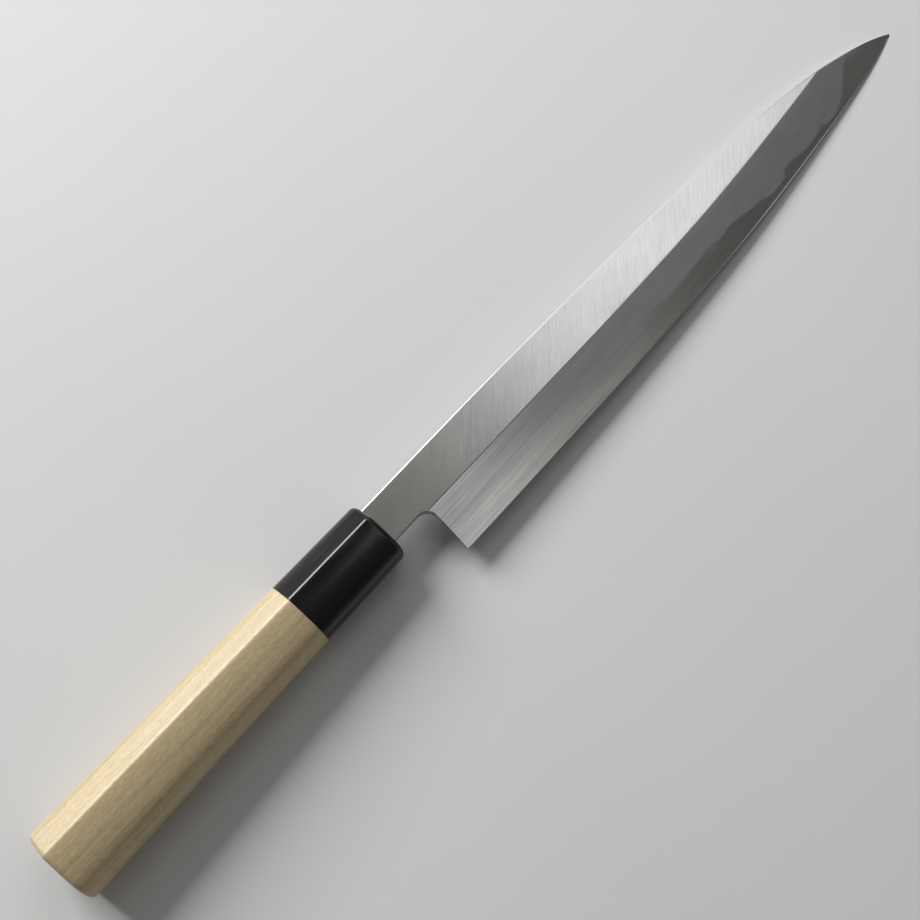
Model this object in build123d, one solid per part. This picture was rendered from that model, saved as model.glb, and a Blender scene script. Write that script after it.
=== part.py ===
"""Yanagiba, the long single-bevel slicing knife, with a laminated blade and a chestnut-section handle.

Millimetres. The knife is drawn with the handle's axis on the X axis: X runs from the butt to the
tip and is 0 at the ferrule's front face, Y points to the spine and Z out of the bevelled front of
the blade. At the end all pieces are laid down together, bevel up, as the knife lies on a table:
on the front rim of the ferrule and the tip.
"""
from build123d import *
from math import atan2, cos, degrees, radians, sin
import os

# Handle: one tapering form, of which the rear is wood and the front is horn
wood_length = 96.0
ferrule_length = 34.6
butt_height = 25.4
butt_thickness = 20.8
front_height = 21.8
front_thickness = 17.3
ridge_round = 0.8
butt_round = 1.5
front_round = 1.8
rim_steps = 3

# Section of the handle, in shares of its half height and half thickness
ridge_place_share = 0.29
facet_end_shares = (0.76, 0.58)
spine_side_shares = (1.0, 0.0)
edge_side_shares = (-1.0, 0.0)
back_flat_share = 0.45
crown_middle_shares = (-0.6, 0.72)
crown_way_shares = (-1.0, -0.16)

# Depth below the flat back that is planed away
planing_depth = 0.3

# Tenon of the wood, inside the ferrule
tenon_length = 25.0
horn_wall = 3.2
glue_gap = 0.1

# Blade in plan
neck_length = 14.0
edge_length = 238.0
heel_height = 31.7
spine_above_axis = 7.75
neck_height = 13.5
heel_lean = 0.9
notch_round = 4.2
straight_spine = 40.0
straight_edge = 75.0

# Blade across its thickness
neck_thickness = 4.0
tip_thickness = 1.7
edge_land = 0.2
bevel_width = 16.7
bevel_width_at_tip = 14.6
hollow_depth = 0.35
hollow_rim = 1.3
spine_chamfer = 0.4

# Hard steel, forge-welded to the back of the soft iron
steel_start = 6.0
steel_thickness = 1.3
steel_thickness_at_tip = 0.7

# Tang, which is driven into the burnt hole of the handle
tang_length = 92.0
tang_end_height = 5.0
tang_end_thickness = 2.2
tang_clearance = 0.15
tang_end_gap = 2.0

# Seal of pine resin round the tang, in a pocket at the ferrule's mouth
seal_margin = 1.0
seal_depth = 3.0
seal_clearance = 0.05

# How far every cutting solid runs past what it cuts
overrun = 1.0

handle_length = wood_length + ferrule_length
reach = neck_length + edge_length
back_z = -neck_thickness / 2

# Plan curves: share of the reach, then share of the heel height
spine_drop_shares = (
    (0.325, 0.016), (0.49, 0.046), (0.60, 0.074), (0.72, 0.126),
    (0.81, 0.193), (0.875, 0.268), (0.937, 0.385), (1.0, 0.576),
)
edge_rise_shares = (
    (0.48, 0.022), (0.60, 0.055), (0.72, 0.122), (0.80, 0.180),
    (0.87, 0.238), (0.947, 0.324), (1.0, 0.424),
)
spine_tip_way_shares = (1.0, -0.55)
edge_tip_way_shares = (1.0, 0.32)
# The bevel's cutter reaches across the blade by this share of the bevel's width
bevel_reach_share = 1.6
# Stations of the hollow back: place along the edge, then how much of the full depth it has
hollow_station_shares = (
    (0.01, 0.08), (0.05, 0.75), (0.12, 1.0), (0.40, 1.0), (0.60, 0.9), (0.80, 0.65), (0.95, 0.12),
)


def station(x):
    """Plane square to the knife at x, with its own axes along Y and Z."""
    return Plane.YZ.offset(x)


def between(share, start, end):
    return start + (end - start) * share


def side_prism(points):
    """Solid that has the given outline when the knife is seen from the side of its edge."""
    return extrude(Plane.XZ * make_face(Polyline(*points, close=True)), heel_height, both=True)


def half_sizes(x):
    """Half height and half thickness of the handle's form at x."""
    share = -x / handle_length
    height = between(share, front_height, butt_height)
    thickness = between(share, front_thickness, butt_thickness)
    return height / 2, thickness / 2


def chestnut(x, inset):
    """Chestnut section at x, drawn in by inset: ridge, flat facet to the spine, round sides, flat back."""
    half_height, half_thickness = half_sizes(x)
    half_height -= inset
    half_thickness -= inset

    def point(height_share, thickness_share):
        return (height_share * half_height, thickness_share * half_thickness)

    ridge = point(ridge_place_share, 1)
    facet_end = point(*facet_end_shares)
    spine_side = point(*spine_side_shares)
    edge_side = point(*edge_side_shares)
    back_low = -half_thickness - planing_depth
    back_spine = (back_flat_share * half_height, back_low)
    back_edge = (-back_flat_share * half_height, back_low)
    facet = Line(ridge, facet_end)
    spine_round = TangentArc(facet_end, spine_side, tangent=facet % 1)
    spine_back = TangentArc(spine_side, back_spine, tangent=spine_round % 1)
    crown_middle = point(*crown_middle_shares)
    crown = TangentArc(ridge, crown_middle, tangent=point(*crown_way_shares))
    edge_round = TangentArc(crown_middle, edge_side, tangent=crown % 1)
    edge_back = TangentArc(edge_side, back_edge, tangent=edge_round % 1)
    back = Line(back_spine, back_edge)
    face = make_face(facet + spine_round + spine_back + back + crown + edge_round + edge_back)
    ridge_corner = face.vertices().sort_by(Axis.Y)[-1]
    return station(x) * fillet(ridge_corner, ridge_round)


def round_end(x, way, radius):
    """Sections that round the form off towards its end at x, which looks along way, 1 or -1."""
    sections = []
    for step in range(rim_steps + 1):
        angle = radians(90 * step / rim_steps)
        sections.append(chestnut(x - way * radius * (1 - sin(angle)), radius * (1 - cos(angle))))
    return sections


def back_plane(inset):
    """Solid below the flat back, which follows the handle's taper and lifts at the ferrule's rim."""
    profile = []
    for x in (-handle_length - overrun, -front_round):
        profile.append((x, inset - half_sizes(x)[1]))
    lifted = profile[-1][1] + front_round
    low = -butt_thickness
    return side_prism(profile + [(overrun, lifted), (overrun, low), (profile[0][0], low)])


def handle_form(sections, inset):
    """Form of the handle through the given sections, planed flat at the back."""
    return loft(sections, ruled=True) - back_plane(inset)


def tang_sizes(x):
    """Middle height above the axis, height and thickness of the tang at x behind the ferrule's front."""
    share = -x / tang_length
    middle = between(share, spine_above_axis - neck_height / 2, 0)
    height = between(share, neck_height, tang_end_height)
    return middle, height, between(share, neck_thickness, tang_end_thickness)


def tang_hole(start, end):
    """Tapering slot that holds the tang with its clearance all round."""
    sections = []
    for x in (start, end):
        middle, height, thickness = tang_sizes(x)
        hole = Rectangle(height + 2 * tang_clearance, thickness + 2 * tang_clearance)
        sections.append(station(x) * Pos(middle, 0) * hole)
    return loft(sections, ruled=True)


def seal_pocket(grow):
    """Pocket for the seal at the mouth of the ferrule, drawn in or out by grow."""
    middle, height, thickness = tang_sizes(0)
    margin = 2 * (seal_margin + grow)
    pocket = Rectangle(height + margin, thickness + margin)
    return extrude(station(0) * Pos(middle, 0) * pocket, -seal_depth - grow)


def inner_form(start, end, inset):
    """Form of the tenon or of its socket, which keeps the same wall of horn all round."""
    return handle_form([chestnut(start, inset), chestnut(end, inset)], inset)


def handle_wood():
    """Tapering wood with a tenon for the ferrule and the burnt hole for the tang."""
    butt = round_end(-handle_length, -1, butt_round)
    wood = handle_form(butt[::-1] + [chestnut(-ferrule_length, 0)], 0)
    tenon_end = tenon_length - ferrule_length
    wood += inner_form(-ferrule_length - overrun, tenon_end, horn_wall + glue_gap)
    return wood - tang_hole(tenon_end + overrun, -tang_length - tang_end_gap)


def ferrule_horn():
    """Horn ferrule: a socket for the tenon behind, a solid nose with the tang's slot in front."""
    front = round_end(0, 1, front_round)
    horn = handle_form([chestnut(-ferrule_length, 0)] + front, 0)
    socket_end = tenon_length - ferrule_length + glue_gap
    horn -= inner_form(-ferrule_length - overrun, socket_end, horn_wall)
    horn -= tang_hole(overrun, socket_end - overrun)
    return horn - seal_pocket(0)


def tang_seal():
    """Resin that fills the pocket round the tang, flush with the ferrule's front."""
    return seal_pocket(-seal_clearance) - tang_hole(overrun, -seal_depth - overrun)


def edge_places():
    """Places of the cutting edge in plan, from the start of its curve to the tip."""
    heel_y = spine_above_axis - heel_height
    curve = [(x * reach, heel_y + rise * heel_height) for x, rise in edge_rise_shares]
    return [(straight_edge, heel_y)] + curve


def spine_places():
    """Places of the spine in plan, from the start of its curve to the tip."""
    curve = [(x * reach, spine_above_axis - drop * heel_height) for x, drop in spine_drop_shares]
    return [(straight_spine, spine_above_axis)] + curve


def plan_outline():
    """Blade and tang seen square to the front face."""
    heel_y = spine_above_axis - heel_height
    neck_y = spine_above_axis - neck_height
    spine = spine_places()
    edge = edge_places()
    tang_top = (-tang_length, tang_end_height / 2)
    tang_bottom = (-tang_length, -tang_end_height / 2)
    notch_low = (neck_length + heel_lean, neck_y - notch_round)
    notch_high = (neck_length + heel_lean - notch_round, neck_y)
    outline = Polyline(tang_bottom, tang_top, (0, spine_above_axis), spine[0])
    outline += Spline(*spine, tangents=[(1, 0), spine_tip_way_shares])
    outline += Spline(*edge, tangents=[(1, 0), edge_tip_way_shares])
    outline += Polyline(edge[0], (neck_length, heel_y), notch_low)
    outline += TangentArc(notch_low, notch_high, tangent=(0, 1))
    outline += Polyline(notch_high, (0, neck_y), tang_bottom)
    return make_face(outline)


def front_z(x):
    """Height of the flat front face, which slopes to the back so that the blade thins to the tip."""
    return back_z + between(x / reach, neck_thickness, tip_thickness)


def weld_z(x):
    """Height of the weld between the hard steel and the soft iron."""
    return back_z + between(x / reach, steel_thickness, steel_thickness_at_tip)


def blank():
    """Forged blank: the plan outline with its taper in thickness."""
    half_end = tang_end_thickness / 2
    nose = reach + overrun
    profile = [(-tang_length, -half_end), (0, back_z), (nose, back_z), (nose, front_z(nose))]
    profile += [(0, front_z(0)), (-tang_length, half_end)]
    return extrude(plan_outline(), neck_thickness, both=True) & side_prism(profile)


def spine_chamfer_section(x, spine_y):
    """Triangle over the front corner of the spine at x, square to the knife."""
    corner_z = front_z(x)
    high = (spine_y - spine_chamfer - overrun, corner_z + overrun)
    low = (spine_y + overrun, corner_z - spine_chamfer - overrun)
    return station(x) * make_face(Polyline(high, low, (low[0], high[1]), close=True))


def spine_cutter():
    """Solid that breaks the spine's front corner from the ferrule to the tip."""
    places = [(0, spine_above_axis), (straight_spine / 2, spine_above_axis)] + spine_places()
    return loft([spine_chamfer_section(x, y) for x, y in places])


def bevel_section(x, edge_y):
    """Triangle that lies on the wide bevel at x, square to the knife."""
    share = max(0, x - straight_edge) / (reach - straight_edge)
    width = between(share, bevel_width, bevel_width_at_tip)
    land_z = back_z + edge_land
    slope = (front_z(x) - land_z) / width
    across = width * bevel_reach_share
    low = (edge_y - overrun, land_z - slope * overrun)
    high = (edge_y + across, land_z + slope * across)
    return station(x) * make_face(Polyline(low, high, (low[0], high[1]), close=True))


def bevel_cutter():
    """Solid over the wide bevel, which follows the edge from the heel to the tip."""
    heel_y = spine_above_axis - heel_height
    places = [(-overrun, heel_y), (neck_length, heel_y), ((neck_length + straight_edge) / 2, heel_y)]
    places += edge_places()
    tip_x, tip_y = places[-1]
    places.append((tip_x + overrun, tip_y + overrun * edge_tip_way_shares[1]))
    return loft([bevel_section(x, y) for x, y in places])


def hollow_section(along, depth_share):
    """Shallow arc across the back at a station of the hollow, between the two flat rims."""
    x = neck_length + along * edge_length
    spine, edge = outline_heights(x)
    low_y = edge + hollow_rim
    high_y = spine - hollow_rim
    depth = hollow_depth * depth_share * (high_y - low_y) / heel_height
    below = back_z - overrun
    outline = ThreePointArc((low_y, back_z), ((low_y + high_y) / 2, back_z + depth), (high_y, back_z))
    outline += Polyline((high_y, back_z), (high_y, below), (low_y, below), (low_y, back_z))
    return station(x) * make_face(outline)


def outline_heights(x):
    """Heights of the spine and of the edge in plan at x."""
    cut = plan_outline() & Line((x, -reach), (x, reach))
    heights = sorted(vertex.Y for vertex in cut.vertices())
    return heights[-1], heights[0]


def hollow_cutter():
    """Solid under the hollow-ground back."""
    return loft([hollow_section(along, depth) for along, depth in hollow_station_shares])


def blade():
    """Ground blade in one piece, before it is parted into its two metals."""
    return blank() - bevel_cutter() - spine_cutter() - hollow_cutter()


def steel_zone():
    """Room of the hard steel: from its start by the neck to the tip, up to the weld."""
    nose = reach + overrun
    low = back_z - overrun
    points = [(steel_start, low), (nose, low), (nose, weld_z(nose)), (steel_start, weld_z(steel_start))]
    return side_prism(points)


ground_blade = blade()
zone = steel_zone()
pieces = {
    "handle_wood": handle_wood(),
    "ferrule_horn": ferrule_horn(),
    "tang_seal": tang_seal(),
    "blade_iron": ground_blade - zone,
    "blade_steel": ground_blade & zone,
}

# Laid down on the ferrule's front rim and the tip, with the middle of the footprint at the origin
rim_x = -front_round
rim_z = -half_sizes(rim_x)[1]
rest_pitch = degrees(atan2(back_z - rim_z, reach - rim_x))
laid = {name: Rot(0, rest_pitch, 0) * piece for name, piece in pieces.items()}
box = Compound(list(laid.values())).bounding_box()
to_origin = Pos(-box.center().X, -box.center().Y, -box.min.Z)

os.makedirs("parts", exist_ok=True)
for name, piece in laid.items():
    placed = to_origin * piece
    export_step(placed, f"parts/{name}.step")
    print(name, "volume", round(placed.volume), "solids", len(placed.solids()))
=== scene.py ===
# %% [markdown]
# # A yanagiba, dressed for its portrait
# A yanagiba is the long single-bevel slicing knife of a Japanese kitchen. Its blade is soft
# iron welded to a thin layer of hard steel, and its handle is a light wood with a collar of
# polished horn. The CAD model gives every part its size and its place. This lesson keeps
# those places and builds the surfaces that the eye sees, each with a finish of its own.

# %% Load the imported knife
import math

import bmesh
import bpy
import numpy as np
from mathutils import Euler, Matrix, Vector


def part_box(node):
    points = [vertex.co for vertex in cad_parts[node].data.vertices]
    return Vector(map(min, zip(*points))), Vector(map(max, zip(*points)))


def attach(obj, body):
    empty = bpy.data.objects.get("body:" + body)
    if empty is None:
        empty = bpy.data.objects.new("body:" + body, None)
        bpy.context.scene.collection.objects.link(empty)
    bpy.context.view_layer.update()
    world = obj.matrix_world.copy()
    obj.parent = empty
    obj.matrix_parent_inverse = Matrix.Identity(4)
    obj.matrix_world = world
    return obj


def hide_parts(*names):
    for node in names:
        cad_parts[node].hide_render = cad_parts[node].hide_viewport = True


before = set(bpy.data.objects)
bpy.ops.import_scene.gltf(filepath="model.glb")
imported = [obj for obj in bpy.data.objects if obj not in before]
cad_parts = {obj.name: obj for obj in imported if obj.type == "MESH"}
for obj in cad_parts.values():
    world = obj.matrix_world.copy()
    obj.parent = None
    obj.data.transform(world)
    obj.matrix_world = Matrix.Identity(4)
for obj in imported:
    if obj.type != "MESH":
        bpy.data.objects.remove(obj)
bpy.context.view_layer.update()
print("CAD nodes:", ", ".join(sorted(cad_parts)))

# %% [markdown]
# ## One set of sizes
# The knife is drawn straight first, in millimetres: X runs from the butt to the tip and is 0
# at the front of the ferrule, Y points to the spine and Z out of the bevelled face. The same
# sizes are used in the CAD model, so both agree without any fitting.

# %% Sizes in millimetres
WOOD_LENGTH = 96.0
FERRULE_LENGTH = 34.6
HANDLE_LENGTH = WOOD_LENGTH + FERRULE_LENGTH
BUTT_HEIGHT, BUTT_THICKNESS = 25.4, 20.8
FRONT_HEIGHT, FRONT_THICKNESS = 21.8, 17.3
RIDGE_ROUND, BUTT_ROUND, FRONT_ROUND = 2.0, 1.5, 1.8

NECK_LENGTH = 14.0
REACH = 252.0
SPINE_Y = 7.75
HEEL_HEIGHT = 31.7
HEEL_Y = SPINE_Y - HEEL_HEIGHT
NECK_HEIGHT = 13.5
NECK_Y = SPINE_Y - NECK_HEIGHT
HEEL_LEAN, NOTCH_ROUND = 0.9, 4.2
NECK_THICKNESS, TIP_THICKNESS = 4.0, 1.7
BACK_Z = -NECK_THICKNESS / 2
EDGE_LAND, BEVEL_WIDTH, BEVEL_WIDTH_AT_TIP = 0.2, 16.7, 14.6
STEEL_START, STEEL_THICKNESS, STEEL_THICKNESS_AT_TIP = 6.0, 1.3, 0.7
HOLLOW_DEPTH, HOLLOW_RIM = 0.35, 1.3
STRAIGHT_SPINE, STRAIGHT_EDGE = 40.0, 75.0

# %% [markdown]
# ## Laying the knife down
# On a table the knife rests on the front rim of its ferrule and on its tip, so it pitches down
# by a degree and a half. Everything below is drawn straight and laid down by one function at
# the end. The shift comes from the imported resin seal, the one block whose corners are plain.

# %% From drawing to table
rim_x = -FRONT_ROUND
rim_z = -(FRONT_THICKNESS + (BUTT_THICKNESS - FRONT_THICKNESS) * -rim_x / HANDLE_LENGTH) / 2
pitch = math.atan2(BACK_Z - rim_z, REACH - rim_x)


def pitched(points):
    """Turns millimetre points about Y by the pitch, tip down, and gives metres."""
    x, y, z = points[..., 0], points[..., 1], points[..., 2]
    along = x * math.cos(pitch) + z * math.sin(pitch)
    up = z * math.cos(pitch) - x * math.sin(pitch)
    return np.stack([along, y, up], axis=-1) / 1000


SEAL_DEPTH, SEAL_MARGIN, SEAL_SLACK = 3.0, 1.0, 0.05
seal_half_height = NECK_HEIGHT / 2 + SEAL_MARGIN
seal_half_thickness = NECK_THICKNESS / 2 + SEAL_MARGIN
seal_middle = SPINE_Y - NECK_HEIGHT / 2
seal_corners = np.array([
    (x, seal_middle + side * (seal_half_height - SEAL_SLACK),
     face * (seal_half_thickness - SEAL_SLACK))
    for x in (-SEAL_DEPTH + SEAL_SLACK, 0) for side in (-1, 1) for face in (-1, 1)
])
shift = np.array(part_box("tang_seal")[0]) - pitched(seal_corners).min(axis=0)


def lay(points):
    """Places drawn points on the table, in the frame of the CAD model."""
    return pitched(points) + shift


UNSHIFT = (-shift[0] * math.cos(pitch) + shift[2] * math.sin(pitch), -shift[1],
           -shift[2] * math.cos(pitch) - shift[0] * math.sin(pitch))
print(f"pitch {math.degrees(pitch):.3f} degrees, shift {np.round(shift * 1000, 2)} mm")

# %% [markdown]
# ## The camera
# The photograph looks down on the knife from behind its left shoulder, close enough that the
# handle looms and the tip recedes. The camera's place was fitted to the outline of the knife
# with this model's sizes, so the near handle and the far tip both fall where they should.

# %% Camera
CAMERA_PLACE = np.array([-65.1, -81.6, 377.9])
CAMERA_TIP, CAMERA_TURN = 0.3005, -0.8445
camera = bpy.data.objects.new("camera", bpy.data.cameras.new("camera"))
camera.location = lay(CAMERA_PLACE)
camera.rotation_euler = Euler((CAMERA_TIP, 0, CAMERA_TURN))
camera.data.sensor_width = 36
camera.data.lens = 50.46
camera.data.clip_start, camera.data.clip_end = 0.01, 20
bpy.context.scene.collection.objects.link(camera)
bpy.context.scene.camera = camera
print("camera at", [round(c, 4) for c in camera.location])

# %% [markdown]
# ## Turning arrays into pieces
# A piece could be pushed about by hand in Edit Mode, but a blade is all smooth curves and flat
# facets, and those are easier to write down than to push. Each surface is a grid of points
# worked out with numpy. Several such patches that share their borders are put in one mesh,
# the doubled border points are merged, and the result is a closed skin.

# %% Patches to mesh
MERGE_DISTANCE = 2e-4  # millimetres


def grid_faces(rows, columns, start):
    """Quads of a grid of rows x columns points that are numbered from start."""
    index = np.arange(rows * columns).reshape(rows, columns) + start
    corners = [index[:-1, :-1], index[1:, :-1], index[1:, 1:], index[:-1, 1:]]
    return np.stack([corner.ravel() for corner in corners], axis=-1)


def make_piece(name, patches, finishes, stands_for, measures, sharp_angle):
    """One closed piece from patches, each a grid of points (rows, columns, 3) and a finish number.

    measures gives named values at drawn points, which the finishes read as attributes."""
    points, faces, kinds, start = [], [], [], 0
    for grid, kind in patches:
        rows, columns = grid.shape[:2]
        points.append(grid.reshape(-1, 3))
        new_faces = grid_faces(rows, columns, start)
        faces.append(new_faces)
        kinds.append(np.full(len(new_faces), kind))
        start += rows * columns
    mesh = bpy.data.meshes.new(name)
    mesh.from_pydata(np.concatenate(points), [], np.concatenate(faces).tolist())
    mesh.polygons.foreach_set("material_index", np.concatenate(kinds).astype(np.int32))
    shape = bmesh.new()
    shape.from_mesh(mesh)
    bmesh.ops.remove_doubles(shape, verts=shape.verts, dist=MERGE_DISTANCE)
    bmesh.ops.dissolve_degenerate(shape, edges=shape.edges, dist=MERGE_DISTANCE)
    bmesh.ops.recalc_face_normals(shape, faces=shape.faces)
    open_edges = sum(1 for edge in shape.edges if not edge.is_manifold)
    shape.to_mesh(mesh)
    shape.free()
    drawn = np.empty(len(mesh.vertices) * 3)
    mesh.vertices.foreach_get("co", drawn)
    drawn = drawn.reshape(-1, 3)
    for key, values in (measures(drawn) if measures else {}).items():
        attribute = mesh.attributes.new(key, "FLOAT", "POINT")
        attribute.data.foreach_set("value", values.astype(np.float32))
    mesh.vertices.foreach_set("co", lay(drawn).ravel())
    mesh.shade_smooth()
    mesh.set_sharp_from_angle(angle=math.radians(sharp_angle))
    for finish in finishes:
        mesh.materials.append(finish)
    mesh.update()
    piece = bpy.data.objects.new(name, mesh)
    bpy.context.scene.collection.objects.link(piece)
    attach(piece, "root")
    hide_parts(*stands_for)
    print(f"{name}: {len(mesh.polygons)} faces, {open_edges} open edges")


# %% [markdown]
# ## Finishes as arithmetic
# A finish is a small sum: so much grain, plus so many scratches, times how far a place lies
# from the edge. Wiring that by hand takes a screenful of nodes. Here one class wraps a node's
# output, so that adding and multiplying wraps add the Math nodes, and one method makes
# every other kind of node.

# %% Wires and finishes
class Wire:
    """An output of a node. Sums with numbers or other wires add Math nodes to its finish."""

    def __init__(self, finish, socket):
        self.finish, self.socket = finish, socket

    def math(self, operation, first, second=0.0):
        return self.finish.math_of(operation, first, second)

    def __add__(self, other):
        return self.math("ADD", self, other)

    def __radd__(self, other):
        return self.math("ADD", other, self)

    def __sub__(self, other):
        return self.math("SUBTRACT", self, other)

    def __rsub__(self, other):
        return self.math("SUBTRACT", other, self)

    def __mul__(self, other):
        return self.math("MULTIPLY", self, other)

    def __rmul__(self, other):
        return self.math("MULTIPLY", other, self)

    def __truediv__(self, other):
        return self.math("DIVIDE", self, other)

    def __rtruediv__(self, other):
        return self.math("DIVIDE", other, self)


class Finish:
    """A material with one Principled shader, whose constants are given when it is made."""

    def __init__(self, name, constants):
        self.material = bpy.data.materials.new(name)
        self.material.use_nodes = True
        self.nodes = self.material.node_tree.nodes
        self.links = self.material.node_tree.links
        self.shader = self.nodes["Principled BSDF"]
        for socket, value in constants.items():
            self.shader.inputs[socket].default_value = value

    def add(self, kind, settings=None, values=None, output=0):
        """Adds a node: its settings first, then a value or a wire for each named socket."""
        node = self.nodes.new(kind)
        for key, value in (settings or {}).items():
            setattr(node, key, value)
        for key, value in (values or {}).items():
            if isinstance(value, Wire):
                self.links.new(value.socket, node.inputs[key])
            else:
                node.inputs[key].default_value = value
        return Wire(self, node.outputs[output])

    def feed(self, socket, wire):
        self.links.new(wire.socket, self.shader.inputs[socket])

    def place(self, scale, turn=0.0, shift=(0, 0, 0)):
        """Metres along, above and out of the drawn knife, turned by degrees, then scaled."""
        spot = self.add("ShaderNodeTexCoord", output="Object")
        drawn = self.add("ShaderNodeMapping", {"vector_type": "POINT"},
                         {"Vector": spot, "Rotation": (0, -pitch, 0), "Location": UNSHIFT})
        turned = self.add("ShaderNodeMapping", {"vector_type": "POINT"},
                          {"Vector": drawn, "Rotation": (0, 0, math.radians(turn)),
                           "Location": shift})
        return self.add("ShaderNodeMapping", {"vector_type": "POINT"},
                        {"Vector": turned, "Scale": scale})

    def math_of(self, operation, first, second=0.0):
        """A Math node, also one that has no sign of its own, such as ABSOLUTE or MINIMUM."""
        return self.add("ShaderNodeMath", {"operation": operation}, {0: first, 1: second})

    def noise(self, where, detail, rough=0.5):
        """Soft noise between 0 and 1 that changes over one unit of where."""
        return self.add("ShaderNodeTexNoise", None,
                        {"Vector": where, "Scale": 1.0, "Detail": detail, "Roughness": rough})

    def measure(self, name):
        """A measure that the piece carries at its points, in millimetres."""
        return self.add("ShaderNodeAttribute", {"attribute_name": name}, output="Fac")

    def fade(self, value, low, high, start=0.0, end=1.0):
        """Goes smoothly from start to end as value goes from low to high."""
        return self.add("ShaderNodeMapRange", {"interpolation_type": "SMOOTHSTEP"},
                        {"Value": value, "From Min": low, "From Max": high,
                         "To Min": start, "To Max": end})

    def tint(self, share, first, second):
        """Colour between first and second by share."""
        return self.add("ShaderNodeMix", {"data_type": "RGBA", "clamp_factor": True},
                        {"Factor": share, 6: first, 7: second}, output=2)

    def bump(self, height, distance):
        """Bump of a height between 0 and 1 that stands distance metres proud."""
        self.feed("Normal", self.add("ShaderNodeBump", None,
                                     {"Height": height, "Distance": distance, "Strength": 1.0}))


# %% [markdown]
# ## Studio
# The photograph is lit from beyond the spine, low and from one side, so the near side of the
# handle falls into shade and a soft shadow lies toward the edge. Polished metal shows what it
# mirrors, so four faint panels stand where its faces look: one beyond the tip turns the flat
# from grey at the neck to almost white, one is for the bevel, one draws the bright line of
# the edge and one that of the spine. Floor and backdrop are one pale sweep.

# %% Floor and backdrop
FLOOR_FLAT, FLOOR_CURVE, FLOOR_RISE = 1.6, 1.2, math.radians(70)  # metres, and how far it curls
FLOOR_COLUMNS, FLAT_ROWS, CURVE_ROWS = 97, 9, 24
angle = np.linspace(0, 2 * np.pi, FLOOR_COLUMNS)[None, :]
rise_angle = np.linspace(0, FLOOR_RISE, CURVE_ROWS)
radius = np.concatenate([np.linspace(0, FLOOR_FLAT, FLAT_ROWS),
                         FLOOR_FLAT + FLOOR_CURVE * np.sin(rise_angle[1:])])
height = np.concatenate([np.zeros(FLAT_ROWS), FLOOR_CURVE * (1 - np.cos(rise_angle[1:]))])
# Surface of revolution: a flat disc whose rim curves up into the backdrop
sweep = np.stack([radius[:, None] * np.cos(angle), radius[:, None] * np.sin(angle),
                  height[:, None] + 0 * angle], axis=-1)
floor_mesh = bpy.data.meshes.new("floor")
floor_faces = grid_faces(len(radius), FLOOR_COLUMNS, 0)
floor_mesh.from_pydata(sweep.reshape(-1, 3), [], floor_faces.tolist())
floor_mesh.shade_smooth()
floor = bpy.data.objects.new("floor", floor_mesh)
bpy.context.scene.collection.objects.link(floor)

paper = Finish("floor_paper", {"Roughness": 0.9, "Specular IOR Level": 0.2})
mottle = paper.noise(paper.place((9, 9, 9)), detail=3)
paper.feed("Base Color", paper.tint(mottle, (0.69, 0.69, 0.685, 1), (0.72, 0.72, 0.715, 1)))
floor_mesh.materials.append(paper.material)
print("floor", len(floor_mesh.polygons), "faces")

# %% Lamps
SKY_LEVEL = 0.10


def panel(name, azimuth, elevation, distance, width, height, watts):
    """A flat lamp that looks at the middle of the knife from azimuth and elevation in degrees."""
    lamp = bpy.data.lights.new(name, "AREA")
    lamp.shape, lamp.size, lamp.size_y, lamp.energy = "RECTANGLE", width, height, watts
    a, e = math.radians(azimuth), math.radians(elevation)
    place = bpy.data.objects.new(name, lamp)
    place.location = (distance * math.cos(a) * math.cos(e), distance * math.sin(a) * math.cos(e),
                      distance * math.sin(e))
    place.rotation_euler = (-place.location).to_track_quat("-Z", "Y").to_euler()
    bpy.context.scene.collection.objects.link(place)


panel("key_panel", azimuth=92, elevation=30, distance=1.5, width=0.75, height=0.75, watts=27)
panel("tip_panel", azimuth=26, elevation=53, distance=1.1, width=0.54, height=0.5, watts=1.16)
panel("near_panel", azimuth=-42, elevation=68, distance=1.2, width=0.34, height=0.34, watts=0.36)
panel("edge_strip", azimuth=-38, elevation=35, distance=1.2, width=0.24, height=0.24, watts=0.17)
panel("spine_strip", azimuth=50, elevation=31, distance=1.2, width=0.6, height=0.4, watts=1.6)
world = bpy.data.worlds.new("studio")
world.use_nodes = True
world.node_tree.nodes["Background"].inputs["Color"].default_value = (1, 1, 1, 1)
world.node_tree.nodes["Background"].inputs["Strength"].default_value = SKY_LEVEL
bpy.context.scene.world = world
bpy.context.scene.view_settings.view_transform = "Standard"

# %% [markdown]
# ## Smooth lines
# The spine and the edge are drawn through a handful of places, as a draughtsman bends a thin
# batten through pins. The batten is a cubic spline: between two pins it is a cubic, and the
# bends at the pins come from one small linear system that leaves no kink in the slope.

# %% The batten
def batten(at, places, heights, start_slope, end_slope):
    """Height at each place of a clamped cubic spline through the given places and heights."""
    x, y = np.array(places), np.array(heights)
    gap = np.diff(x)
    rise = np.diff(y) / gap
    inner = np.arange(1, len(x) - 1)
    system, right = np.zeros((len(x), len(x))), np.zeros(len(x))
    system[inner, inner - 1], system[inner, inner + 1] = gap[:-1], gap[1:]
    system[inner, inner] = 2 * (gap[:-1] + gap[1:])
    right[inner] = 6 * np.diff(rise)
    system[0, :2], right[0] = (2 * gap[0], gap[0]), 6 * (rise[0] - start_slope)
    system[-1, -2:], right[-1] = (gap[-1], 2 * gap[-1]), 6 * (end_slope - rise[-1])
    bend = np.linalg.solve(system, right)
    k = np.clip(np.searchsorted(x, at) - 1, 0, len(x) - 2)
    done, left = at - x[k], x[k + 1] - at
    return ((bend[k] * left ** 3 + bend[k + 1] * done ** 3) / (6 * gap[k])
            + (y[k] / gap[k] - bend[k] * gap[k] / 6) * left
            + (y[k + 1] / gap[k] - bend[k + 1] * gap[k] / 6) * done)


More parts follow.
